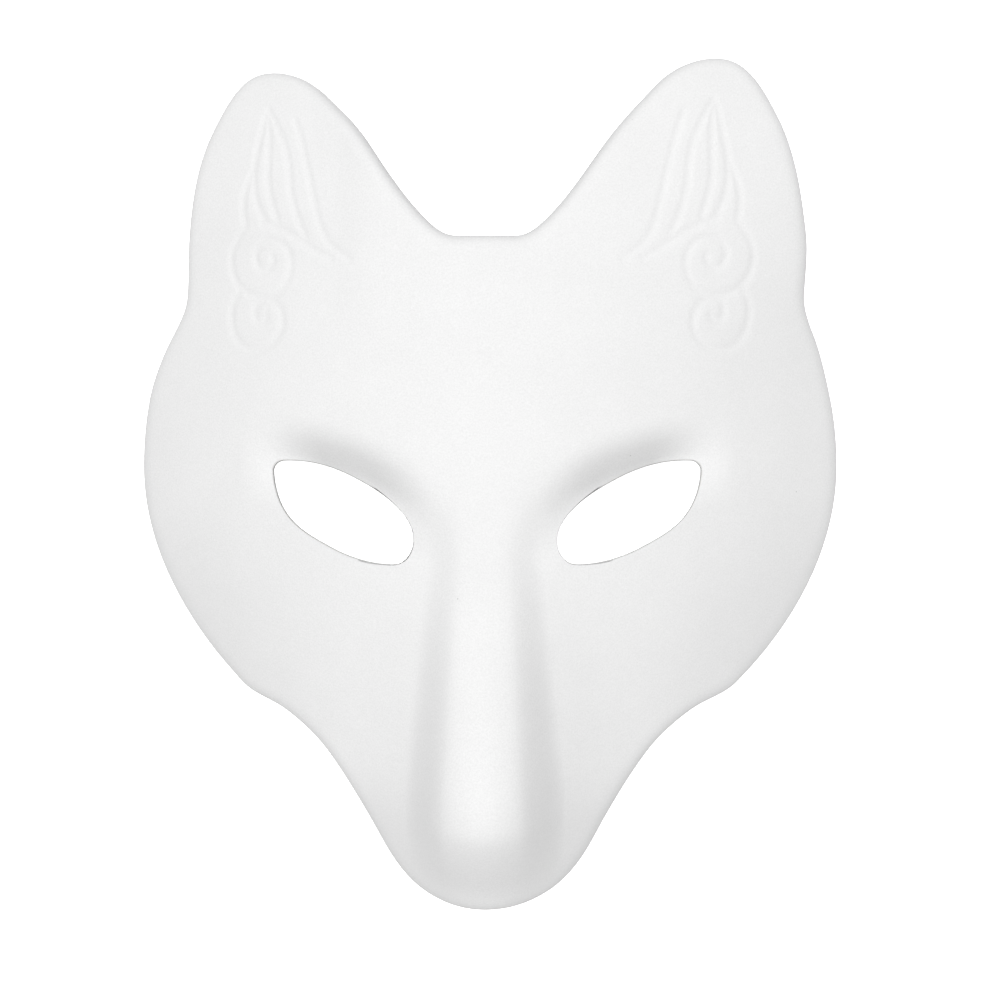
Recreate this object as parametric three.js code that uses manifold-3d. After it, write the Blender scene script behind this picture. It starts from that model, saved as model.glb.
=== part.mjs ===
import * as THREE from 'three';
import { mergeVertices } from 'three/addons/utils/BufferGeometryUtils.js';
import Module from 'manifold-3d';

// A fox mask moulded in one piece from foam sheet, lying face up on its two cheek rims.
// The ears point to +Y, the muzzle rises to +Z, and the origin is on the floor below its middle.

// Driving dimensions in millimetres
const WIDTH = 247;
const HEIGHT = 278;
const DEPTH = 90;
const WALL = 2.5;
const LIP_DROP = 9;
const LIP_WIDTH = 6.5;
const REST_EASE = 3;
const EYE_LENGTH = 49;
const EYE_OPENING = 35;
const GROOVE_WIDTH = 2.8;
const GROOVE_DEPTH = 0.6;

// The mask's right-hand ear stands as moulded, and the other one has curled back, in degrees
const EAR_TWIST = 8;
const EAR_LEAN = 4;

// How finely the solid is faceted
const CURVE_STEPS = 16;
const OUTLINE_SPACING = 10;
const STRAND_STEPS = 3;
const SCROLL_STEPS = 3;
const MUZZLE_SPANS = 4;
const MUZZLE_COLUMNS = 6;

const HALF_WIDTH = WIDTH / 2;
const HALF_HEIGHT = HEIGHT / 2;

// Half of the outline, from the notch between the ears round to the chin.
// Each anchor is a share of half the width, a share of half the height and a heading in degrees.
const OUTLINE = [
  [0.000, 0.562, 0],
  [0.078, 0.562, 2],
  [0.163, 0.609, 46],
  [0.329, 0.806, 53],
  [0.445, 0.925, 48],
  [0.625, 1.000, 0],
  [0.788, 0.866, -61],
  [0.875, 0.600, -80],
  [0.879, 0.455, -90],
  [0.934, 0.330, -66],
  [1.000, 0.035, -90],
  [0.907, -0.290, -118],
  [0.706, -0.515, -140],
  [0.565, -0.570, -151],
  [0.430, -0.665, -130],
  [0.305, -0.840, -117],
  [0.207, -0.962, -143],
  [0.000, -1.000, -180],
];

// The eye hole round its own middle, in shares of half its length and half its opening
const EYE_MIDDLE = [0.380 * HALF_WIDTH, -0.086 * HALF_HEIGHT];
const EYE = [
  [-0.98, -0.48, -90],
  [-0.72, -0.90, 0],
  [0.14, -0.60, 27],
  [0.78, 0.05, 56],
  [0.98, 0.82, 86],
  [0.84, 1.02, 178],
  [-0.12, 0.70, 207],
  [-0.72, 0.16, 222],
  [-0.98, -0.48, 270],
];

// The ornament pressed into each ear, in the outline's own shares and headings: flame strands
// that run down from the tip, and two scrolls below them
const STRANDS = [
  [[0.609, 0.870, -80], [0.640, 0.725, -89], [0.609, 0.619, -122]],
  [[0.639, 0.745, -66], [0.673, 0.658, -90], [0.666, 0.608, -105]],
  [[0.600, 0.868, -100], [0.596, 0.718, -90], [0.569, 0.613, -105]],
  [[0.600, 0.885, -120], [0.544, 0.784, -108], [0.529, 0.693, -96], [0.484, 0.568, -117]],
  [[0.518, 0.850, -111], [0.466, 0.681, -103], [0.428, 0.565, -118], [0.356, 0.506, -149]],
  [[0.612, 0.610, -162], [0.484, 0.550, -143], [0.409, 0.511, -160]],
];
const SCROLLS = [
  [[0.666, 0.608, -52], [0.714, 0.529, -90], [0.600, 0.430, 180], [0.526, 0.504, 90],
    [0.586, 0.563, 0], [0.636, 0.531, -90], [0.606, 0.496, 180], [0.582, 0.522, 80]],
  [[0.681, 0.449, -42], [0.706, 0.403, -90], [0.623, 0.306, 180], [0.547, 0.367, 90],
    [0.603, 0.424, 0], [0.633, 0.398, -90], [0.610, 0.372, 180], [0.596, 0.384, 90]],
];

const radians = (degrees) => degrees * Math.PI / 180;
const clamp = (value, low, high) => Math.min(high, Math.max(low, value));
const mix = (a, b, share) => a + (b - a) * share;

// A smooth rise from 0 to 1 as t goes from 0 to 1
function step(t) {
  const s = clamp(t, 0, 1);
  return s * s * (3 - 2 * s);
}

// A smooth curve through anchors that each have a heading, as a dense list of points
function curveThrough(anchors, steps) {
  const points = [];
  for (let i = 0; i + 1 < anchors.length; i++) {
    const [x0, y0, heading0] = anchors[i];
    const [x1, y1, heading1] = anchors[i + 1];
    const start = new THREE.Vector2(x0, y0);
    const end = new THREE.Vector2(x1, y1);
    const way0 = new THREE.Vector2(Math.cos(radians(heading0)), Math.sin(radians(heading0)));
    const way1 = new THREE.Vector2(Math.cos(radians(heading1)), Math.sin(radians(heading1)));
    const turn = Math.abs(Math.atan2(way0.cross(way1), way0.dot(way1)));
    const reach = start.distanceTo(end) / 3 / Math.cos(turn / 4) ** 2;
    const curve = new THREE.CubicBezierCurve(
      start, start.clone().addScaledVector(way0, reach),
      end.clone().addScaledVector(way1, -reach), end);
    points.push(...curve.getPoints(steps).slice(0, -1));
  }
  const last = anchors[anchors.length - 1];
  points.push(new THREE.Vector2(last[0], last[1]));
  return points;
}

const toSize = ([across, along, heading]) => [across * HALF_WIDTH, along * HALF_HEIGHT, heading];
const outline = curveThrough(OUTLINE.map(toSize), CURVE_STEPS);
const eyeEdge = curveThrough(
  EYE.map(([a, b, heading]) => [a * EYE_LENGTH / 2, b * EYE_OPENING / 2, heading]),
  CURVE_STEPS);

// A straight rise with a rounded start: 0 up to t = 0, and t less one bend from two bends on
function eased(t, bend) {
  if (t <= 0) return 0;
  return t < 2 * bend ? t * t / (4 * bend) : t - bend;
}

// A straight rise of a given length, rounded at its start and at its end
const ramp = (t, length, bend) => eased(t, bend) - eased(t - length, bend);

// The forms of the face, in shares of half the width, half the height and the depth.
// The dome wraps round more tightly below its belt, and stays wide up in the ears.
const DOME = { top: 0.667, fall: 0.567, power: 1.88, sag: 0.072, middle: 0.072 };
const WRAP = { belt: 0.036, chin: 0.713, span: 0.431, ears: 0.52, earsFrom: 0.20, earsSpan: 0.75 };
const MUZZLE = { height: 0.3384, from: 0.09, length: 0.86, bend: 0.06, halfWidth: 0.214 };
const NOSE = {
  from: -0.10, length: 0.576, bend: 0.05, middle: [0.095, 0.146], flank: [0.092, 0.121],
  height: 0.024, rise: 0.115, top: 0.023, topSpan: 0.304, tip: -0.990, tipSpan: 0.231,
};
const FRONT = { drop: 0.228, from: -0.653, span: 0.347, power: 1.88 };
const BROW = { level: 0.162, dive: 0.155, from: 0.603, span: 0.522, power: 1.68 };
const SOCKET = {
  slope: 1.55, bend: 0.03, hold: 0.09, back: 0.14,
  inner: 0.045, innerSpan: 0.29, outer: 0.42, outerSpan: 0.20,
};

// The forehead and cheeks: a dome across the face whose sides fall away more quickly down the muzzle
function dome(x, y) {
  const across = Math.abs(x) / HALF_WIDTH;
  const along = y / HALF_HEIGHT;
  const wrap = along < WRAP.belt
    ? mix(WRAP.chin, 1, Math.exp(-(((along - WRAP.belt) / WRAP.span) ** 2)))
    : 1 + WRAP.ears * step((along - WRAP.earsFrom) / WRAP.earsSpan);
  const fall = DOME.fall * (across / wrap) ** DOME.power;
  return DEPTH * (DOME.top - fall - DOME.sag * (along - DOME.middle) ** 2);
}

// The muzzle: a hump that grows on a ramp from the eyes to the nose
function muzzle(x, y) {
  const rise = ramp(MUZZLE.from - y / HALF_HEIGHT, MUZZLE.length, MUZZLE.bend);
  return DEPTH * MUZZLE.height * rise * Math.exp(-((x / HALF_WIDTH / MUZZLE.halfWidth) ** 2));
}

// How far down the nose a point lies, from 0 between the eyes to 1 at the tip
const downNose = (y) => ramp(NOSE.from - y / HALF_HEIGHT, NOSE.length, NOSE.bend) / NOSE.length;

// The flank of the nose bridge: how far its middle stands from the middle line, and its width
function noseFlank(y) {
  const down = downNose(y);
  return { middle: HALF_WIDTH * mix(...NOSE.middle, down), width: HALF_WIDTH * mix(...NOSE.flank, down) };
}

// The flat-topped nose bridge, which stands higher and wider towards the tip
function bridge(x, y) {
  const along = y / HALF_HEIGHT;
  const height = NOSE.height * step((NOSE.top - along) / NOSE.topSpan) + NOSE.rise * downNose(y);
  const { middle, width } = noseFlank(y);
  const side = 1 - step((Math.abs(x) - middle) / width + 0.5);
  return DEPTH * height * side * step((along - NOSE.tip) / NOSE.tipSpan);
}

// The front of the muzzle, which turns down to the chin
function front(y) {
  const down = clamp((FRONT.from - y / HALF_HEIGHT) / FRONT.span, 0, 1.2);
  return -DEPTH * FRONT.drop * down ** FRONT.power;
}

// The eye socket: a straight slope down from the brow's crest, which comes back in the eye.
// The crest runs level above the outer eye and dives to the nose.
function socket(x, y) {
  const across = Math.abs(x) / HALF_WIDTH;
  const inwards = clamp((BROW.from - across) / BROW.span, 0, 1.3);
  const crest = BROW.level - BROW.dive * inwards ** BROW.power;
  const turn = BROW.dive * BROW.power * inwards ** (BROW.power - 1) / BROW.span * HALF_HEIGHT / HALF_WIDTH;
  const below = (crest - y / HALF_HEIGHT) / Math.hypot(1, turn);
  const depth = SOCKET.slope * eased(below, SOCKET.bend) * (1 - step((below - SOCKET.hold) / SOCKET.back));
  const inner = step((across - SOCKET.inner) / SOCKET.innerSpan);
  const outer = 1 - step((across - SOCKET.outer) / SOCKET.outerSpan);
  return -DEPTH * depth * inner * outer;
}

// The face without its turned-back lip
function faceHeight(x, y) {
  return dome(x, y) + muzzle(x, y) + bridge(x, y) + front(y) + socket(x, y);
}

// The height of the rim below a point of the face: one lip drop down, but never below the floor
const rimHeight = (face) => eased(face - LIP_DROP, REST_EASE);

// The nearest outline point, its distance, and the direction away from it
function nearestRim(x, y) {
  let best = { distance: Infinity };
  for (let i = 0; i + 1 < outline.length; i++) {
    const a = outline[i];
    const dx = outline[i + 1].x - a.x;
    const dy = outline[i + 1].y - a.y;
    const share = clamp(((x - a.x) * dx + (y - a.y) * dy) / (dx * dx + dy * dy), 0, 1);
    const awayX = x - a.x - share * dx;
    const awayY = y - a.y - share * dy;
    const distance = Math.hypot(awayX, awayY);
    if (distance < best.distance) {
      const length = Math.hypot(dx, dy);
      best = distance > 1e-6
        ? { distance, x: awayX / distance, y: awayY / distance }
        : { distance, x: dy / length, y: -dx / length };
    }
  }
  return best;
}

// A point of the outer surface and its outward normal. The lip is a quarter of an ellipse.
function outerPoint(x, y) {
  const small = 0.02;
  const face = faceHeight(x, y);
  const slopeX = (faceHeight(x + small, y) - faceHeight(x - small, y)) / (2 * small);
  const slopeY = (faceHeight(x, y + small) - faceHeight(x, y - small)) / (2 * small);
  const rim = nearestRim(Math.abs(x), y);
  const turn = clamp(1 - rim.distance / LIP_WIDTH, 0, 1);
  const level = Math.sqrt(1 - turn * turn);
  const drop = face - rimHeight(face);
  const lean = drop / LIP_WIDTH * turn;
  const awayX = x < 0 ? -rim.x : rim.x;
  const normal = new THREE.Vector3(-slopeX * level - lean * awayX, -slopeY * level - lean * rim.y, level);
  return { point: new THREE.Vector3(x, y, face - drop * (1 - level)), normal: normal.normalize() };
}

// The curled ear: everything beyond its root turns about a line down the head and leans back
function setBack(point) {
  const root = new THREE.Vector3(-0.24 * HALF_WIDTH, 0.45 * HALF_HEIGHT, 0.58 * DEPTH);
  const p = point.clone().sub(root);
  const rise = step((point.y / HALF_HEIGHT - 0.20) / 0.40);
  const twist = radians(EAR_TWIST) * rise * step(-p.x / (0.16 * HALF_WIDTH));
  const lean = radians(EAR_LEAN) * step(-p.x / (0.24 * HALF_WIDTH)) * step(p.y / (0.5 * HALF_HEIGHT));
  p.applyAxisAngle(new THREE.Vector3(0, 1, 0), -twist);
  p.applyAxisAngle(new THREE.Vector3(1, 0, 0), -lean);
  return p.add(root);
}

// Distances along the outline, and the place and inward way at any such distance
const outlineArcs = outline.reduce((arcs, point, i) => {
  arcs.push(i ? arcs[i - 1] + point.distanceTo(outline[i - 1]) : 0);
  return arcs;
}, []);
const outlineLength = outlineArcs[outlineArcs.length - 1];

function outlineAt(arc) {
  const last = outline.length - 1;
  const i = clamp(outlineArcs.findIndex((length) => length > arc) - 1, 0, last - 1);
  const index = arc >= outlineLength ? last - 1 : i;
  const share = clamp((arc - outlineArcs[index]) / (outlineArcs[index + 1] - outlineArcs[index]), 0, 1);
  const wayAt = (k) => outline[Math.min(k + 1, last)].clone().sub(outline[Math.max(k - 1, 0)]).normalize();
  const way = wayAt(index).lerp(wayAt(index + 1), share).normalize();
  const point = outline[index].clone().lerp(outline[index + 1], share);
  return { point, inward: new THREE.Vector2(way.y, -way.x) };
}

// The outline's grid corners: every anchor, and even steps between one anchor and the next
function rimArcs() {
  const arcs = [];
  for (let start = 0; start + CURVE_STEPS < outline.length; start += CURVE_STEPS) {
    const length = outlineArcs[start + CURVE_STEPS] - outlineArcs[start];
    const steps = Math.max(1, 2 ** Math.round(Math.log2(length / OUTLINE_SPACING)));
    for (let k = 0; k < steps; k++) arcs.push(outlineArcs[start + k * CURVE_STEPS / steps]);
  }
  return [...arcs, outlineLength];
}

// The closed edge of the eye hole in a given direction from its middle
function eyeEdgeAt(angle) {
  const way = new THREE.Vector2(Math.cos(angle), Math.sin(angle));
  for (let i = 0; i + 1 < eyeEdge.length; i++) {
    const a = eyeEdge[i];
    const b = eyeEdge[i + 1];
    const sideA = way.cross(a);
    const sideB = way.cross(b);
    if (sideA <= 0 && sideB > 0 && way.dot(a) > 0) {
      const p = a.clone().lerp(b, sideA / (sideA - sideB));
      return new THREE.Vector2(p.x + EYE_MIDDLE[0], p.y + EYE_MIDDLE[1]);
    }
  }
  throw new Error('the eye hole is not round its own middle');
}

// The grid's columns beside the middle line: on it, and across the flank of the nose bridge,
// which is drawn together where the face narrows to the chin
function noseColumns(y) {
  const { middle, width } = noseFlank(y);
  const narrow = mix(0.55, 1, step((1 + y / HALF_HEIGHT) / 0.19));
  return [0, ...[-0.45, -0.15, 0.15, 0.42].map((share) => narrow * (middle + share * width))];
}

// The grid's corners on the middle line, from the chin up. As many lie below the crossing as the
// muzzle has on its outline.
function middleHeights(muzzleRows) {
  const notch = outline[0].y;
  const chin = outline[outline.length - 1].y;
  const crossing = -0.37 * HALF_HEIGHT;
  const heights = [chin + 0.35 * LIP_WIDTH];
  for (let i = 0; i < muzzleRows - 2; i++) {
    heights.push(mix(chin + LIP_WIDTH, crossing, (i / (muzzleRows - 2)) ** 1.25));
  }
  for (const [from, to, steps] of [
    [crossing, -0.22 * HALF_HEIGHT, 2],
    [-0.22 * HALF_HEIGHT, 0.07 * HALF_HEIGHT, 5],
    [0.07 * HALF_HEIGHT, notch - LIP_WIDTH, 4],
  ]) {
    for (let i = 0; i < steps; i++) heights.push(mix(from, to, i / steps));
  }
  return [...heights, notch - LIP_WIDTH, notch - 0.35 * LIP_WIDTH];
}

// The grid of half the face, in three parts that share their edges. The band runs round the outline
// and back up beside the middle line. Below the crossing, the muzzle's rows join its two sides.
// The rays of the core run from the crossing and the rest of the band to the eye hole.
function halfGrid() {
  const lipInsets = [0, 0.15, 0.53, 1, 1.4].map((share) => share * LIP_WIDTH);
  const browInsets = [0.19, 0.128, 0.09, 0.054, 0.022, 0].map((share) => share * HALF_HEIGHT);
  const notch = outline[0].y;
  const chin = outline[outline.length - 1].y;
  const near = (distance) => Math.max(0, 1 - distance / (0.32 * HALF_HEIGHT));

  const arcs = rimArcs();
  const chinIndex = arcs.length - 1;
  const muzzleRows = chinIndex - arcs.indexOf(outlineArcs[outline.length - 1 - MUZZLE_SPANS * CURVE_STEPS]);
  const rim = arcs.slice(1, -1).map((arc) => lipInsets.map((inset, k) => {
    const shift = noseColumns(notch)[k] * near(arc) - noseColumns(chin)[k] * near(outlineLength - arc);
    const { point, inward } = outlineAt(arc + shift);
    return point.addScaledVector(inward, inset);
  }));
  const middle = [notch, chin, ...middleHeights(muzzleRows)].map((y) => lipInsets.map((inset, k) => {
    return new THREE.Vector2(noseColumns(y)[k], y + inset * (near(y - chin) - near(notch - y)));
  }));
  const band = [middle[0], ...rim, ...middle.slice(1)];
  const edge = band.map((rings) => rings[rings.length - 1]);

  const muzzle = [];
  for (let i = 0; i <= muzzleRows; i++) {
    const row = [];
    for (let k = 0; k <= MUZZLE_COLUMNS; k++) {
      row.push(edge[chinIndex + i].clone().lerp(edge[chinIndex - i], k / MUZZLE_COLUMNS));
    }
    muzzle.push(row);
  }
  const crossing = muzzle[muzzleRows].slice(1, -1).reverse();

  const centre = new THREE.Vector2(...EYE_MIDDLE);
  const fromNotch = edge.slice(0, chinIndex - muzzleRows + 1);
  const starts = [...fromNotch, ...crossing, ...edge.slice(chinIndex + muzzleRows)];
  const core = starts.map((start) => {
    const eye = eyeEdgeAt(start.clone().sub(centre).angle());
    const length = start.distanceTo(eye);
    const fit = Math.min(1, length / (0.43 * HALF_HEIGHT));
    const brow = browInsets.map((inset) => 1 - inset * fit / length);
    const shares = [0, brow[0] / 3, brow[0] * 2 / 3, ...brow];
    return shares.map((share) => start.clone().lerp(eye, share));
  });
  return { band, muzzle, core, rimSteps: chinIndex };
}

// A closed body from a list of corner points and triangles. Where a row of the grid shrinks to one
// point, the triangles that vanish with it are dropped.
function closedGeometry(points, triangles) {
  const geometry = new THREE.BufferGeometry();
  const places = points.flatMap((p) => [p.x, p.y, p.z]);
  geometry.setAttribute('position', new THREE.Float32BufferAttribute(places, 3));
  geometry.setIndex(triangles.flat());
  const merged = mergeVertices(geometry, 1e-4);
  const corners = merged.index.array;
  const kept = [];
  for (let i = 0; i < corners.length; i += 3) {
    const [a, b, c] = corners.slice(i, i + 3);
    if (a !== b && b !== c && c !== a) kept.push(a, b, c);
  }
  merged.setIndex(kept);
  return merged;
}

// The shell: outer face, inner face one wall behind it, flat rim ends and eye-hole walls
function shellGeometry() {
  const { band, muzzle, core, rimSteps } = halfGrid();
  const points = [];
  const triangles = [];
  for (const side of [1, -1]) {
    const sheet = (rays, depth) => rays.map((ray) => ray.map((place) => {
      const { point, normal } = outerPoint(side * place.x, place.y);
      const moved = point.addScaledVector(normal, -depth);
      points.push(side < 0 ? setBack(moved) : moved);
      return points.length - 1;
    }));
    const quad = (a, b, c, d) => {
      const split = points[a].distanceTo(points[c]) <= points[b].distanceTo(points[d]);
      const pair = split ? [[a, b, c], [a, c, d]] : [[a, b, d], [b, c, d]];
      triangles.push(...pair.map((t) => (side < 0 ? t : [t[0], t[2], t[1]])));
    };
    for (const rays of [band, muzzle, core]) {
      const outer = sheet(rays, 0);
      const inner = sheet(rays, WALL);
      const last = rays[0].length - 1;
      const steps = rays === muzzle ? rays.length - 1 : rays.length;
      for (let i = 0; i < steps; i++) {
        const j = (i + 1) % rays.length;
        for (let k = 0; k < last; k++) {
          quad(outer[i][k], outer[j][k], outer[j][k + 1], outer[i][k + 1]);
          quad(inner[i][k + 1], inner[j][k + 1], inner[j][k], inner[i][k]);
        }
        if (rays === core) quad(outer[i][last], outer[j][last], inner[j][last], inner[i][last]);
        if (rays === band && i < rimSteps) quad(inner[i][0], inner[j][0], outer[j][0], outer[i][0]);
      }
    }
  }
  return closedGeometry(points, triangles);
}

const wasm = await Module();
wasm.setup();

function toSolid(geometry) {
  return new wasm.Manifold(new wasm.Mesh({
    numProp: 3,
    vertProperties: new Float32Array(geometry.attributes.position.array),
    triVerts: new Uint32Array(geometry.index.array),
  }));
}

function toGeometry(solid) {
  const mesh = solid.getMesh();
  const geometry = new THREE.BufferGeometry();
  geometry.setAttribute('position', new THREE.BufferAttribute(new Float32Array(mesh.vertProperties), 3));
  geometry.setIndex(new THREE.BufferAttribute(new Uint32Array(mesh.triVerts), 1));
  geometry.computeVertexNormals();
  return geometry;
}

// A groove cutter: a wedge swept along a curve on the outer face, its edge one groove depth in
function grooveCutter(anchors, steps, side) {
  const clear = 0.5;
  const reach = GROOVE_WIDTH / 2 * (GROOVE_DEPTH + clear) / GROOVE_DEPTH;
  const path = curveThrough(anchors.map(toSize), steps).map((p) => outerPoint(side * p.x, p.y));
  const points = [];
  path.forEach(({ point, normal }, i) => {
    const before = path[Math.max(i - 1, 0)].point;
    const after = path[Math.min(i + 1, path.length - 1)].point;
    const sideways = after.clone().sub(before).cross(normal).normalize();
    const corners = [[-reach, clear], [reach, clear], [0, -GROOVE_DEPTH]];
    corners.forEach(([out, up]) => {
      points.push(point.clone().addScaledVector(sideways, out).addScaledVector(normal, up));
    });
  });
  const triangles = [[0, 2, 1]];
  const last = points.length - 3;
  triangles.push([last, last + 1, last + 2]);
  for (let base = 0; base < last; base += 3) {
    for (let k = 0; k < 3; k++) {
      const a = base + k;
      const b = base + (k + 1) % 3;
      triangles.push([a, b, b + 3], [a, b + 3, a + 3]);
    }
  }
  return toSolid(closedGeometry(side < 0 ? points.map(setBack) : points, triangles));
}

// The whole mask: the shell, less the grooves of both ears
function maskSolid() {
  const cutters = [1, -1].flatMap((side) => [
    ...STRANDS.map((anchors) => grooveCutter(anchors, STRAND_STEPS, side)),
    ...SCROLLS.map((anchors) => grooveCutter(anchors, SCROLL_STEPS, side)),
  ]);
  return toSolid(shellGeometry()).subtract(cutters.reduce((all, cutter) => all.add(cutter)));
}

const whiteFoam = new THREE.MeshStandardMaterial({ color: 0xececec, roughness: 0.8, metalness: 0 });

const shell = new THREE.Mesh(toGeometry(maskSolid()), whiteFoam);
shell.name = 'mask_shell';

const mask = new THREE.Group();
mask.add(shell);

export default mask;
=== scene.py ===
import math

import bmesh
import bpy
import numpy as np
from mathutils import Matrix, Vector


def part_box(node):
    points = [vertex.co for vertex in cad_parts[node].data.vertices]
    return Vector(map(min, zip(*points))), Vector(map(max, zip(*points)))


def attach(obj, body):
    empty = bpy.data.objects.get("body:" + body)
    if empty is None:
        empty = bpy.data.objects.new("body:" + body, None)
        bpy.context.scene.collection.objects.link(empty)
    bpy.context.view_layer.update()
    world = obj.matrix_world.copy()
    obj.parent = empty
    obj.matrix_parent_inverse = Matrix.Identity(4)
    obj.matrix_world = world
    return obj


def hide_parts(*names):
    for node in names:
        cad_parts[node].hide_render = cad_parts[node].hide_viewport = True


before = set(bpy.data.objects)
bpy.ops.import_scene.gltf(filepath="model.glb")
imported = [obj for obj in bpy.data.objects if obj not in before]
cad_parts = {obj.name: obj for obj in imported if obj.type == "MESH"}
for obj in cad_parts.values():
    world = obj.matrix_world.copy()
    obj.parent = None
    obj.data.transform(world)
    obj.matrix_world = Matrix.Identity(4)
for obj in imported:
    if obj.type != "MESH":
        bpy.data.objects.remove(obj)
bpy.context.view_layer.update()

# The mask.
# One sheet of white foam, pressed hot over a fox-faced mould. Its edge is turned back all round and
# trimmed flat, the eye holes are punched out, and the ornament is pressed into both ears.

mask_low, mask_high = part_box("mask_shell")
half_width = (mask_high.x - mask_low.x) / 2
half_height = (mask_high.y - mask_low.y) / 2
face_depth = mask_high.z - mask_low.z
sheet = 0.0025
lip_drop = 0.009
lip_width = 0.0065
rest_ease = 0.003
edge_round = 0.0005


def smooth(t):
    """A level-ended rise from 0 to 1: t squared times (3 - 2t), with t held between 0 and 1."""
    t = np.clip(t, 0.0, 1.0)
    return t * t * (3 - 2 * t)


def mix(a, b, share):
    """The value that lies a given share of the way from a to b."""
    return a + (b - a) * share


def curve_through(anchors, steps):
    """A smooth curve through anchors (x, y, heading in degrees), as rows of points.

    Each span is a cubic Bezier curve. Its handles lie along the headings, and each is a third of the
    chord long, over the squared cosine of a quarter of the turn."""
    anchors = np.array(anchors, float)
    place, heading = anchors[:, :2], np.radians(anchors[:, 2])
    way = np.stack([np.cos(heading), np.sin(heading)], 1)
    turn = np.angle(np.exp(1j * np.diff(heading)))
    chord = np.linalg.norm(np.diff(place, axis=0), axis=1)
    reach = (chord / 3 / np.cos(turn / 4) ** 2)[:, None]
    handles = [place[:-1], place[:-1] + reach * way[:-1], place[1:] - reach * way[1:], place[1:]]
    t = np.arange(steps)[None, :, None] / steps
    shares = [(1 - t) ** 3, 3 * t * (1 - t) ** 2, 3 * t * t * (1 - t), t ** 3]
    spans = sum(share * handle[:, None, :] for share, handle in zip(shares, handles))
    return np.vstack([spans.reshape(-1, 2), place[-1:]])


def to_face(anchors):
    """Anchors in shares of half the width and half the height, turned into metres."""
    return [(across * half_width, along * half_height, heading) for across, along, heading in anchors]


# Half of the trimmed outline, from the notch between the ears round to the chin
outline_steps = 48
outline_anchors = [
    (0.000, 0.562, 0), (0.078, 0.562, 2), (0.163, 0.609, 46), (0.329, 0.806, 53), (0.445, 0.925, 48),
    (0.625, 1.000, 0), (0.788, 0.866, -61), (0.875, 0.600, -80), (0.879, 0.455, -90), (0.934, 0.330, -66),
    (1.000, 0.035, -90), (0.907, -0.290, -118), (0.706, -0.515, -140), (0.565, -0.570, -151),
    (0.430, -0.665, -130), (0.305, -0.840, -117), (0.207, -0.962, -143), (0.000, -1.000, -180)]
ear_tip_anchor, ear_root_anchor, muzzle_anchor = 5, 9, 13
outline = curve_through(to_face(outline_anchors), outline_steps)
outline_arcs = np.r_[0, np.cumsum(np.linalg.norm(np.diff(outline, axis=0), axis=1))]
outline_length = outline_arcs[-1]
outline_heading = np.unwrap(np.arctan2(*np.gradient(outline, outline_arcs, axis=0).T[::-1]))

# The punched eye hole, in shares of half its length and half its opening
eye_middle = np.array([0.380 * half_width, -0.086 * half_height])
eye_length, eye_opening = 0.049, 0.035
eye_anchors = [
    (-0.98, -0.48, -90), (-0.72, -0.90, 0), (0.14, -0.60, 27), (0.78, 0.05, 56), (0.98, 0.82, 86),
    (0.84, 1.02, 178), (-0.12, 0.70, 207), (-0.72, 0.16, 222), (-0.98, -0.48, 270)]
eye_edge = curve_through(
    [(across * eye_length / 2, along * eye_opening / 2, heading) for across, along, heading in eye_anchors],
    outline_steps)


def eased(t, bend):
    """A straight rise with a rounded start.

    It is 0 up to t = 0, t squared over four bends up to two bends, and t less one bend from there on."""
    return np.where(t <= 0, 0, np.where(t < 2 * bend, t ** 2 / (4 * bend), t - bend))


def ramp(t, length, bend):
    """A straight rise of a given length, rounded at its start and at its end."""
    return eased(t, bend) - eased(t - length, bend)


def nose_flank(y):
    """How far down the nose a place is, and the middle and the width of the bridge's flank there."""
    nose_from, nose_length, nose_bend = -0.10, 0.576, 0.05
    middle_from, middle_to, width_from, width_to = 0.095, 0.146, 0.092, 0.121
    down = ramp(nose_from - y / half_height, nose_length, nose_bend) / nose_length
    return down, half_width * mix(middle_from, middle_to, down), half_width * mix(width_from, width_to, down)


def dome_height(across, along):
    """The forehead and the cheeks: a fall with the distance from the middle line to a power.

    Below the belt that distance is over a wrap that shrinks on a bell curve, so the sides fall away
    more quickly down the muzzle. Up in the ears the wrap grows, so they stay flatter."""
    belt, chin_wrap, chin_span = 0.036, 0.713, 0.431
    ear_wrap, ear_from, ear_span = 0.52, 0.20, 0.75
    top, fall, power, sag, level = 0.667, 0.567, 1.88, 0.072, 0.072
    wrap = np.where(
        along < belt, mix(chin_wrap, 1, np.exp(-((along - belt) / chin_span) ** 2)),
        1 + ear_wrap * smooth((along - ear_from) / ear_span))
    return top - fall * (across / wrap) ** power - sag * (along - level) ** 2


def muzzle_rise(across, along):
    """The muzzle: a bell curve across the face, whose height rises on a ramp from the eyes to the nose."""
    height, rise_from, length, bend, width = 0.3384, 0.09, 0.86, 0.06, 0.214
    return height * ramp(rise_from - along, length, bend) * np.exp(-(across / width) ** 2)


def bridge_rise(x, y):
    """The nose bridge: a flat top that rises down the nose, between two smooth flanks."""
    along = y / half_height
    height, growth, top, top_span, tip, tip_span = 0.024, 0.115, 0.023, 0.304, -0.990, 0.231
    down, middle, width = nose_flank(y)
    flank = 1 - smooth((np.abs(x) - middle) / width + 0.5)
    crest = height * smooth((top - along) / top_span) + growth * down
    return crest * flank * smooth((along - tip) / tip_span)


def chin_drop(along):
    """The front below the nose tip, which falls in a straight slope."""
    slope, fall_from, bend = 0.83, -0.655, 0.07
    return slope * eased(fall_from - along, bend)


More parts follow.
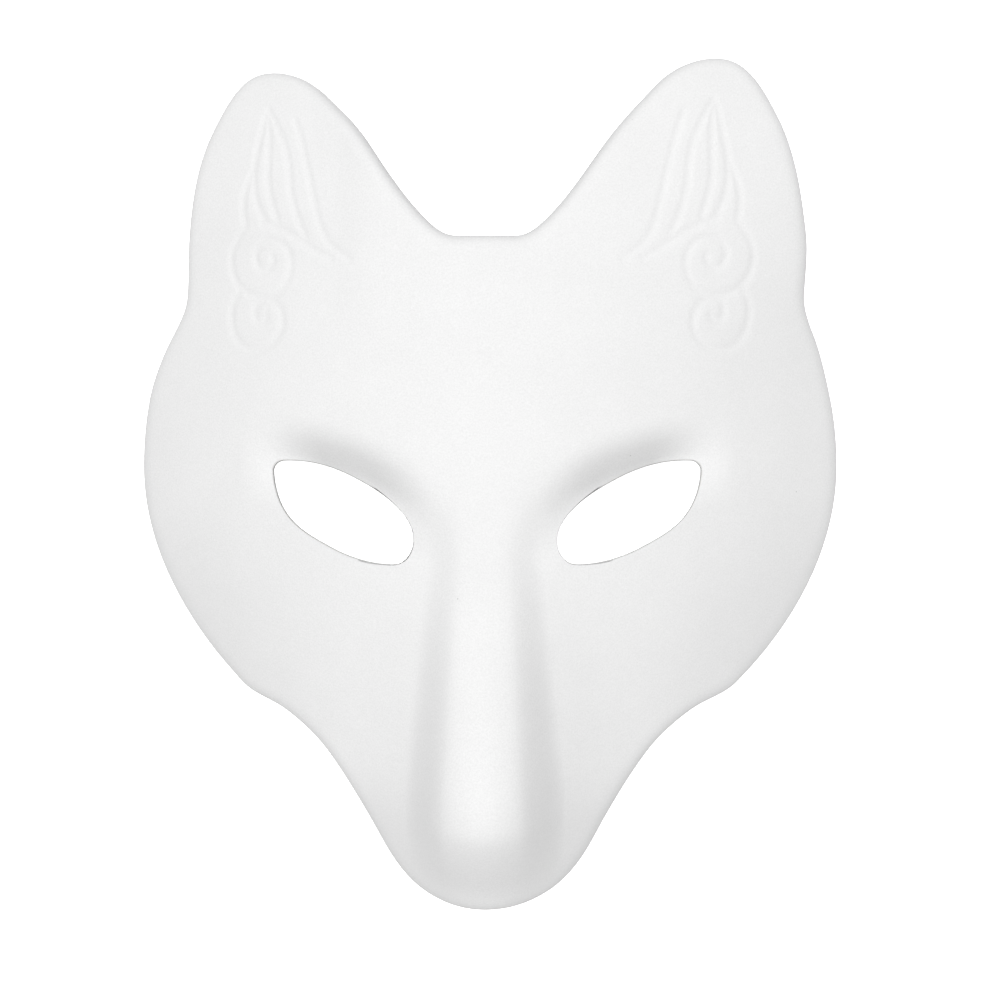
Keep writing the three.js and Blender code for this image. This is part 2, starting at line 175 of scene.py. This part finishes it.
def socket_drop(across, along):
    """The socket of an eye: a straight slope below the brow line, which comes back in the eye.

    The brow line is level above the outer eye and dives to the nose by a power."""
    level, dive, dive_from, dive_span, power = 0.162, 0.155, 0.603, 0.522, 1.68
    slope, bend, hold, back = 1.55, 0.03, 0.09, 0.14
    inner, inner_span, outer, outer_span, furthest = 0.045, 0.29, 0.43, 0.24, 1.3
    inwards = np.clip((dive_from - across) / dive_span, 0, furthest)
    turn = half_height * dive * power * inwards ** (power - 1) / (dive_span * half_width)
    below = (level - dive * inwards ** power - along) / np.hypot(1, turn)
    window = smooth((across - inner) / inner_span) * (1 - smooth((across - outer) / outer_span))
    return slope * eased(below, bend) * (1 - smooth((below - hold) / back)) * window


def face_height(x, y):
    """The height of the moulded face: dome, muzzle and nose bridge, less the chin's front and the sockets."""
    across, along = np.abs(x) / half_width, y / half_height
    raised = dome_height(across, along) + muzzle_rise(across, along) + bridge_rise(x, y)
    return face_depth * (raised - chin_drop(along) - socket_drop(across, along))


def rim_height(face):
    """The trimmed edge: one lip drop below the face, rounded off on the floor and never below it."""
    return eased(face - lip_drop, rest_ease)


def nearest_on(path, x, y, block=4000):
    """The distance from each point to a path's nearest segment, and the direction away from it."""
    start, run = path[:-1], np.diff(path, axis=0)
    length = (run ** 2).sum(1)
    distance, away = np.empty(len(x)), np.empty((len(x), 2))
    for first in range(0, len(x), block):
        here = np.stack([x[first:first + block], y[first:first + block]], 1)
        offset = here[:, None, :] - start
        share = np.clip((offset * run).sum(2) / length, 0, 1)
        offset = offset - share[..., None] * run
        gap = np.hypot(offset[..., 0], offset[..., 1])
        pick = gap.argmin(1)
        rows = np.arange(len(here))
        side = np.stack([run[pick, 1], -run[pick, 0]], 1) / np.sqrt(length[pick])[:, None]
        close = gap[rows, pick]
        on_path = close < 1e-7
        distance[first:first + block] = close
        unit = offset[rows, pick] / np.where(on_path, 1, close)[:, None]
        away[first:first + block] = np.where(on_path[:, None], side, unit)
    return distance, away


def front_surface(x, y):
    """The front of the sheet and its outward normal at places (x, y) of one flat half.

    The turned-back lip is a quarter of an ellipse whose squares are cubes, so it stays level for longer
    and turns upright close to the trimmed edge. The normal adds the face's slope and the lip's lean."""
    small = 0.00002
    face = face_height(x, y)
    slope_x = (face_height(x + small, y) - face_height(x - small, y)) / (2 * small)
    slope_y = (face_height(x, y + small) - face_height(x, y - small)) / (2 * small)
    distance, away = nearest_on(outline, np.abs(x), y)
    away[:, 0] *= np.where(x < 0, -1, 1)
    turn = np.clip(1 - distance / lip_width, 0, 1)
    level = np.cbrt(1 - turn ** 3)
    upright = level ** 2
    drop = face - rim_height(face)
    lean = drop / lip_width * turn ** 2
    point = np.stack([x, y, face - drop * (1 - level)], 1)
    sideways = -np.stack([slope_x, slope_y], 1) * upright[:, None] - lean[:, None] * away
    normal = np.column_stack([sideways, upright])
    return point, normal / np.linalg.norm(normal, axis=1)[:, None]


# The ornament: flame strands that run down from each ear's tip, and two scrolls below them
groove_width, groove_depth, groove_steps = 0.0042, 0.00038, 14
ornament_anchors = [
    [(0.609, 0.870, -80), (0.640, 0.725, -89), (0.609, 0.619, -122)],
    [(0.639, 0.745, -66), (0.673, 0.658, -90), (0.666, 0.608, -105)],
    [(0.600, 0.868, -100), (0.596, 0.718, -90), (0.569, 0.613, -105)],
    [(0.600, 0.885, -120), (0.544, 0.784, -108), (0.529, 0.693, -96), (0.484, 0.568, -117)],
    [(0.518, 0.850, -111), (0.466, 0.681, -103), (0.428, 0.565, -118), (0.356, 0.506, -149)],
    [(0.612, 0.610, -162), (0.484, 0.550, -143), (0.409, 0.511, -160)],
    [(0.666, 0.608, -52), (0.714, 0.529, -90), (0.600, 0.430, 180), (0.526, 0.504, 90),
     (0.586, 0.563, 0), (0.636, 0.531, -90), (0.606, 0.496, 180), (0.582, 0.522, 80)],
    [(0.681, 0.449, -42), (0.706, 0.403, -90), (0.623, 0.306, 180), (0.547, 0.367, 90),
     (0.603, 0.424, 0), (0.633, 0.398, -90), (0.610, 0.372, 180), (0.596, 0.384, 90)]]


def groove_depths(x, y):
    """How deep the ornament is pressed at each place: a bell (1 - d squared) squared across each groove."""
    depth = np.zeros(len(x))
    for anchors in ornament_anchors:
        distance, _ = nearest_on(curve_through(to_face(anchors), groove_steps), np.abs(x), y)
        bell = np.clip(1 - (distance / (groove_width / 2)) ** 2, 0, 1) ** 2
        depth = np.maximum(depth, groove_depth * bell)
    return depth


ear_twist, ear_lean = math.radians(8), math.radians(4)


def curl(points, flat, directions=False):
    """The curled ear: turns points about a line down the head and leans them back.

    Both angles grow smoothly beyond the ear's root. Directions turn too, without the root's place."""
    root = np.array([-0.24 * half_width, 0.45 * half_height, 0.58 * face_depth])
    twist_width, lean_width, lean_height = 0.16 * half_width, 0.24 * half_width, 0.5 * half_height
    twist_from, twist_span = 0.20 * half_height, 0.40 * half_height
    beside, above = root[0] - flat[:, 0], flat[:, 1] - root[1]
    twist = ear_twist * smooth((flat[:, 1] - twist_from) / twist_span) * smooth(beside / twist_width)
    lean = ear_lean * smooth(beside / lean_width) * smooth(above / lean_height)
    x, y, z = (points - (0 if directions else root)).T
    x, z = x * np.cos(twist) - z * np.sin(twist), x * np.sin(twist) + z * np.cos(twist)
    y, z = y * np.cos(lean) + z * np.sin(lean), z * np.cos(lean) - y * np.sin(lean)
    return np.stack([x, y, z], 1) + (0 if directions else root)


# The grid of half the face. The band follows the outline and comes back up beside the middle line.
# Rows cross the ear and the muzzle from side to side, and the core's rays run to the eye hole.
# Every count is even, because the back of the sheet takes each second line of the grid.
lip_turns = np.radians([90, 80, 70, 60, 50, 40, 30, 20, 10, 0])
lip_insets = lip_width * np.r_[1 - np.sin(lip_turns), 1.13, 1.26, 1.40]
counts = {"notch": 8, "ear": 140, "cheek": 84, "muzzle": 56, "middle": 70}
ear_columns, muzzle_columns, core_rings = 104, 18, 44
ear_bulge = 0.024
notch_flat = 0.065 * half_width
chin_crowding, notch_crowding, eye_crowding = 1.2, 1.5, 1.1
band_reach = 0.32 * half_height
notch_y, chin_y = outline[0, 1], outline[-1, 1]
crossing_y = -0.37 * half_height


def nose_columns(y):
    """The band's columns beside the middle line, over the bridge's top and down its flank.

    They are drawn together towards the chin."""
    _, middle, width = nose_flank(y)
    narrowest, narrow_span = 0.55, 0.19
    top, foot = middle - 0.45 * width, middle + 0.50 * width
    on_top, down_flank = (0, 0.40, 0.75), np.linspace(0, 1, 10)
    columns = [*(share * top for share in on_top), *(mix(top, foot, share) for share in down_flank)]
    narrow = mix(narrowest, 1, smooth((1 + y / half_height) / narrow_span))
    return narrow[:, None] * np.stack(columns, 1)


def near(distance):
    """1 at a corner of the band and 0 from its reach onwards, in a straight line."""
    return np.clip(1 - distance / band_reach, 0, 1)


def rim_rings(arcs):
    """The band's rings inside the outline: each lies one lip inset in, and moves along at the corners."""
    at_notch, at_chin = nose_columns(np.array([notch_y]))[0], nose_columns(np.array([chin_y]))[0]
    moved = arcs[:, None] + near(arcs)[:, None] * at_notch - near(outline_length - arcs)[:, None] * at_chin
    heading = np.interp(moved, outline_arcs, outline_heading)
    x = np.interp(moved, outline_arcs, outline[:, 0]) + lip_insets * np.sin(heading)
    y = np.interp(moved, outline_arcs, outline[:, 1]) - lip_insets * np.cos(heading)
    return np.stack([x, y], 2)


def middle_line(y):
    """The band's columns at each height beside the middle line."""
    return np.stack([nose_columns(y), np.repeat(y[:, None], len(lip_insets), 1)], 2)


def middle_rings(y):
    """The band's rings beside the middle line, drawn near each corner to where the rim's rings arrive."""
    at_chin = rim_rings(np.array([outline_length]))[0] - middle_line(np.array([chin_y]))[0]
    at_notch = rim_rings(np.array([0.0]))[0] - middle_line(np.array([notch_y]))[0]
    by_chin, by_notch = near(y - chin_y)[:, None, None], near(notch_y - y)[:, None, None]
    return middle_line(y) + by_chin * at_chin + by_notch * at_notch


def spread(*stops_and_counts):
    """Even steps from each stop to the next one, without the last stop."""
    stops, steps = stops_and_counts[::2], stops_and_counts[1::2]
    return np.concatenate([np.linspace(a, b, n, endpoint=False) for a, b, n in zip(stops, stops[1:], steps)])


anchor_arc = lambda index: outline_arcs[index * outline_steps]
rim_arcs = spread(
    0.0, counts["notch"], notch_flat, counts["ear"], anchor_arc(ear_tip_anchor), counts["ear"],
    anchor_arc(ear_root_anchor), counts["cheek"], anchor_arc(muzzle_anchor), counts["muzzle"], outline_length)
muzzle_steps = np.arange(counts["muzzle"]) / counts["muzzle"]
middle_steps = np.arange(counts["middle"], 0, -1) / counts["middle"]
middle_y = np.r_[
    mix(chin_y, crossing_y, muzzle_steps ** chin_crowding),
    mix(notch_y, crossing_y, middle_steps ** notch_crowding)]
band = np.vstack([rim_rings(rim_arcs[1:]), middle_rings(middle_y)])
band = np.vstack([middle_rings(np.array([notch_y])), band])
edge = band[:, -1]

tip = counts["notch"] + counts["ear"]
chin = tip + counts["ear"] + counts["cheek"] + counts["muzzle"]


def crossing_rows(turn, count, columns, bulge):
    """Rows that join the band's two sides around a turning point, from a single point outwards.

    A row is straight from side to side, less a sag that grows with the square of its number."""
    steps = np.arange(count + 1)
    first, last = edge[turn + steps], edge[turn - steps]
    share = np.linspace(0, 1, columns + 1)[None, :, None]
    rows = mix(first[:, None], last[:, None], share)
    rows[..., 1] -= bulge * ((steps / count) ** 2)[:, None] * 4 * share[..., 0] * (1 - share[..., 0])
    return rows


ear = crossing_rows(tip, counts["ear"], ear_columns, ear_bulge)
muzzle = crossing_rows(chin, counts["muzzle"], muzzle_columns, 0)
starts = np.vstack([
    edge[:counts["notch"]], ear[-1][::-1], edge[tip + counts["ear"] + 1:chin - counts["muzzle"]],
    muzzle[-1][::-1], edge[chin + counts["muzzle"] + 1:]])
toward = starts - eye_middle
eye_angles = np.arctan2(eye_edge[:-1, 1], eye_edge[:-1, 0])
radius = np.interp(
    np.arctan2(toward[:, 1], toward[:, 0]), eye_angles, np.hypot(*eye_edge[:-1].T), period=2 * math.pi)
ends = eye_middle + toward * (radius / np.hypot(*toward.T))[:, None]
inward_share = (1 - (1 - np.linspace(0, 1, core_rings + 1)) ** eye_crowding)[None, :, None]
core = mix(starts[:, None], ends[:, None], inward_share)

points, faces, finishes = [], [], []
front_skin, back_skin, cut_edge = 0, 1, 2


def add_points(block):
    """Adds a block of points and returns their numbers in the block's own shape."""
    first = sum(len(p) for p in points)
    points.append(block.reshape(-1, 3))
    return np.arange(first, first + block[..., 0].size).reshape(block.shape[:-1])


def add_quads(numbers, closed, turned, finish):
    """Joins neighbouring rows and columns of point numbers with four-cornered faces."""
    along = np.roll(numbers, -1, 0) if closed else numbers[1:]
    here = numbers if closed else numbers[:-1]
    quads = np.stack([here[:, :-1], along[:, :-1], along[:, 1:], here[:, 1:]], -1).reshape(-1, 4)
    add_faces(quads[:, ::-1] if turned else quads, finish)


def add_faces(corners, finish):
    """Adds faces of one finish."""
    faces.append(corners)
    finishes.append(np.full(len(corners), finish))


def sheet_sides(places, side):
    """The front and the back of the sheet, and its normals, over a block of places on one half."""
    flat = places.reshape(-1, 2) * [side, 1]
    x, y = flat.T
    point, normal = front_surface(x, y)
    back = point - sheet * normal
    front = point - groove_depths(x, y)[:, None] * normal
    if side < 0:
        front, back, normal = curl(front, front), curl(back, back), curl(normal, front, directions=True)
    return [values.reshape(*places.shape[:-1], 3) for values in (front, back, normal)]


def cut_profile(front, through, inwards):
    """The points across the cut through the sheet, from just below its front to just above its back.

    Each lies a depth below the front on the way through the sheet, and a way back from the cut: a
    quarter circle, a straight wall and a quarter circle."""
    bend = np.radians([60, 30, 0])
    depths, backs = edge_round * (1 - np.sin(bend)), edge_round * (1 - np.cos(bend))
    depths = np.r_[depths, sheet / 2, sheet - depths[::-1]][:, None]
    backs = np.r_[backs, 0, backs[::-1]][:, None]
    return front[:, None] - through[:, None] * depths + inwards[:, None] * backs


def join_cut(profile, at_front, at_back, closed, turned):
    """Joins the cut to the front and to the back of the sheet.

    The back has half as many points, so each of its steps meets two steps of the cut: three triangles."""
    numbers = np.hstack([at_front[:, None], add_points(profile)])
    add_quads(numbers, closed, turned, cut_edge)
    fine = np.r_[numbers[:, -1], numbers[:1, -1]] if closed else numbers[:, -1]
    coarse = np.r_[at_back, at_back[:1]] if closed else at_back
    first, middle, last = fine[:-2:2], fine[1:-1:2], fine[2::2]
    strip = [(first, middle, coarse[:-1]), (middle, coarse[1:], coarse[:-1]), (middle, last, coarse[1:])]
    strip = np.vstack([np.stack(corners, 1) for corners in strip])
    add_faces(strip[:, ::-1] if turned else strip, cut_edge)


blocks = {"band": (band, True), "ear": (ear, False), "muzzle": (muzzle, False), "core": (core, True)}
trimmed = {"band": (np.s_[:chin + 1, 0], np.s_[:chin // 2 + 1, 0]), "core": (np.s_[:, -1], np.s_[:, -1])}
punch_from, punch_span = 0.7, 0.3
punched = smooth((np.linspace(0, 1, core_rings + 1) - punch_from) / punch_span)[None, :, None]
for side in (1, -1):
    for name, (places, closed) in blocks.items():
        front, back, normal = sheet_sides(places, side)
        through = normal
        if name == "core":
            through = mix(normal, np.array([0.0, 0.0, 1.0]), punched)
            through = through / (through * normal).sum(2)[..., None]
            back += sheet * (normal - through)
        if name in trimmed:
            line, back_line = trimmed[name]
            across = normal[line]
            inwards = np.array([[0.0, 0.0, 1.0]]) if name == "band" else front[:, -2] - front[:, -1]
            inwards = inwards - (inwards * across).sum(1)[:, None] * across
            inwards /= np.linalg.norm(inwards, axis=1)[:, None]
            profile = cut_profile(front[line], through[line], inwards)
            front[line] += edge_round * inwards
            back[line] += edge_round * inwards
        at_front, at_back = add_points(front), add_points(back[::2, ::2])
        add_quads(at_front, closed, side > 0, front_skin)
        add_quads(at_back, closed, side < 0, back_skin)
        if name in trimmed:
            turned = (side < 0) == (name == "band")
            join_cut(profile, at_front[line], at_back[back_line], name == "core", turned)

mesh = bpy.data.meshes.new("fox_mask")
corner_lists = [corner for block in faces for corner in block.tolist()]
mesh.from_pydata(np.vstack(points).tolist(), [], corner_lists)
mesh.polygons.foreach_set("material_index", np.concatenate(finishes).astype(np.int32))
weld = bmesh.new()
weld.from_mesh(mesh)
bmesh.ops.remove_doubles(weld, verts=weld.verts, dist=1e-6)
weld.to_mesh(mesh)
weld.free()
mesh.shade_smooth()
mask = bpy.data.objects.new("fox_mask", mesh)
bpy.context.scene.collection.objects.link(mask)


def foam_grain_group():
    """The look of pressed foam: soft clouds of tone, fine closed cells, and a rare dark speck."""
    group = bpy.data.node_groups.new("pressed foam grain", "ShaderNodeTree")
    interface = group.interface
    for name, kind, value in (
            ("Tint", "NodeSocketColor", (0.8, 0.8, 0.8, 1)), ("Cloud", "NodeSocketFloat", 0.02),
            ("Cell", "NodeSocketFloat", 2500.0), ("Pit", "NodeSocketFloat", 0.03),
            ("Rough", "NodeSocketFloat", 0.85)):
        socket = interface.new_socket(name=name, in_out="INPUT", socket_type=kind)
        socket.default_value = value
    for name, kind in (
            ("Colour", "NodeSocketColor"), ("Roughness", "NodeSocketFloat"), ("Height", "NodeSocketFloat")):
        interface.new_socket(name=name, in_out="OUTPUT", socket_type=kind)
    nodes, links = group.nodes, group.links
    inputs, outputs = nodes.new("NodeGroupInput"), nodes.new("NodeGroupOutput")
    place = nodes.new("ShaderNodeTexCoord")

    def noise(scale, detail):
        node = nodes.new("ShaderNodeTexNoise")
        node.inputs["Detail"].default_value = detail
        node.inputs["Roughness"].default_value = 0.6
        if isinstance(scale, float):
            node.inputs["Scale"].default_value = scale
        else:
            links.new(scale, node.inputs["Scale"])
        links.new(place.outputs["Object"], node.inputs["Vector"])
        return node.outputs["Fac"]

    def maths(operation, a, b, c=None):
        node = nodes.new("ShaderNodeMath")
        node.operation = operation
        for socket, value in zip(node.inputs, (a, b, c)):
            if isinstance(value, float):
                socket.default_value = value
            elif value is not None:
                links.new(value, socket)
        return node.outputs["Value"]

    cloud_scale, cloud_detail, cell_detail = 55.0, 3.0, 4.0
    speck_scale, speck_size, speck_tone, cell_roughness = 38.0, 0.010, -0.25, 0.10
    cloud = maths("SUBTRACT", noise(cloud_scale, cloud_detail), 0.5)
    cells = noise(inputs.outputs["Cell"], cell_detail)
    tone = maths("MULTIPLY_ADD", cloud, inputs.outputs["Cloud"], 1.0)
    tone = maths("MULTIPLY_ADD", maths("SUBTRACT", cells, 0.5), inputs.outputs["Pit"], tone)
    speck = nodes.new("ShaderNodeTexVoronoi")
    speck.inputs["Scale"].default_value = speck_scale
    speck.inputs["Randomness"].default_value = 1.0
    links.new(place.outputs["Object"], speck.inputs["Vector"])
    dot = maths("LESS_THAN", speck.outputs["Distance"], speck_size)
    tone = maths("MULTIPLY", tone, maths("MULTIPLY_ADD", dot, speck_tone, 1.0))
    colour = nodes.new("ShaderNodeVectorMath")
    colour.operation = "SCALE"
    links.new(inputs.outputs["Tint"], colour.inputs[0])
    links.new(tone, colour.inputs["Scale"])
    links.new(colour.outputs["Vector"], outputs.inputs["Colour"])
    roughness = maths("MULTIPLY_ADD", cells, cell_roughness, inputs.outputs["Rough"])
    links.new(roughness, outputs.inputs["Roughness"])
    links.new(cells, outputs.inputs["Height"])
    return group


def foam_material(name, grain, tint, cloud, cell, pit, rough, bump):
    """One finish of the foam: its own tint and grain, with the grain's height as a shallow bump."""
    material = bpy.data.materials.new(name)
    material.use_nodes = True
    nodes, links = material.node_tree.nodes, material.node_tree.links
    shader = nodes["Principled BSDF"]
    shader.inputs["Specular IOR Level"].default_value = 0.3
    foam = nodes.new("ShaderNodeGroup")
    foam.node_tree = grain
    look = {"Tint": (*tint, 1), "Cloud": cloud, "Cell": cell, "Pit": pit, "Rough": rough}
    for socket, value in look.items():
        foam.inputs[socket].default_value = value
    raised = nodes.new("ShaderNodeBump")
    raised.inputs["Distance"].default_value = bump
    raised.inputs["Strength"].default_value = 1.0
    links.new(foam.outputs["Colour"], shader.inputs["Base Color"])
    links.new(foam.outputs["Roughness"], shader.inputs["Roughness"])
    links.new(foam.outputs["Height"], raised.inputs["Height"])
    links.new(raised.outputs["Normal"], shader.inputs["Normal"])
    return material


grain = foam_grain_group()
for material in (
        foam_material("moulded front", grain, (0.80, 0.80, 0.80), 0.05, 1800.0, 0.24, 0.80, 0.00005),
        foam_material("back of the sheet", grain, (0.78, 0.78, 0.775), 0.05, 1100.0, 0.09, 0.88, 0.00012),
        foam_material("cut edge", grain, (0.70, 0.70, 0.69), 0.05, 1500.0, 0.16, 0.90, 0.00015)):
    mesh.materials.append(material)
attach(mask, "root")
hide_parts("mask_shell")

# The floor.
# A plain white table top, bright all over, on which the mask lies.

floor_mesh = bpy.data.meshes.new("floor")
reach, below = 3.0, 0.0001
floor_mesh.from_pydata(
    [(-reach, -reach, -below), (reach, -reach, -below), (reach, reach, -below), (-reach, reach, -below)],
    [], [(0, 1, 2, 3)])
floor = bpy.data.objects.new("floor", floor_mesh)
bpy.context.scene.collection.objects.link(floor)
table_top = bpy.data.materials.new("white table top")
table_top.use_nodes = True
table_shader = table_top.node_tree.nodes["Principled BSDF"]
table_shader.inputs["Base Color"].default_value = (0.96, 0.96, 0.96, 1)
table_shader.inputs["Roughness"].default_value = 0.9
table_shader.inputs["Specular IOR Level"].default_value = 0.1
table_shader.inputs["Emission Color"].default_value = (1, 1, 1, 1)
floor_glow = 1.2
seen_glow = table_top.node_tree.nodes.new("ShaderNodeMath")
seen_glow.operation = "MULTIPLY"
seen_glow.inputs[1].default_value = floor_glow
light_path = table_top.node_tree.nodes.new("ShaderNodeLightPath")
table_top.node_tree.links.new(light_path.outputs["Is Camera Ray"], seen_glow.inputs[0])
table_top.node_tree.links.new(seen_glow.outputs["Value"], table_shader.inputs["Emission Strength"])
floor_mesh.materials.append(table_top)

# The light.
# One large soft lamp high over the mask, and the even glow of a white room.

lamp_data = bpy.data.lights.new("soft lamp", "AREA")
lamp_data.shape = "DISK"
lamp_data.size = 0.8
lamp_data.energy = 28
lamp = bpy.data.objects.new("soft lamp", lamp_data)
lamp.location = (-0.06, 0.14, 1.9)
lamp.rotation_euler = (lamp.location * -1).to_track_quat("-Z", "Y").to_euler()
bpy.context.scene.collection.objects.link(lamp)
room = bpy.data.worlds.new("room")
room.use_nodes = True
room.node_tree.nodes["Background"].inputs["Color"].default_value = (1, 1, 1, 1)
room.node_tree.nodes["Background"].inputs["Strength"].default_value = 0.365
bpy.context.scene.world = room
bpy.context.scene.view_settings.view_transform = "Standard"

# The camera.
# It looks straight down from half a metre above the table, a little to the right of the mask's middle.

camera_data = bpy.data.cameras.new("camera")
camera_data.sensor_width = 36.0
focal_length_in_widths = 1.393
camera_data.lens = focal_length_in_widths * camera_data.sensor_width
camera_data.shift_x = -0.0339
camera = bpy.data.objects.new("camera", camera_data)
camera.location = (0.0155, -0.0072, 0.500)
bpy.context.scene.collection.objects.link(camera)
bpy.context.scene.camera = camera
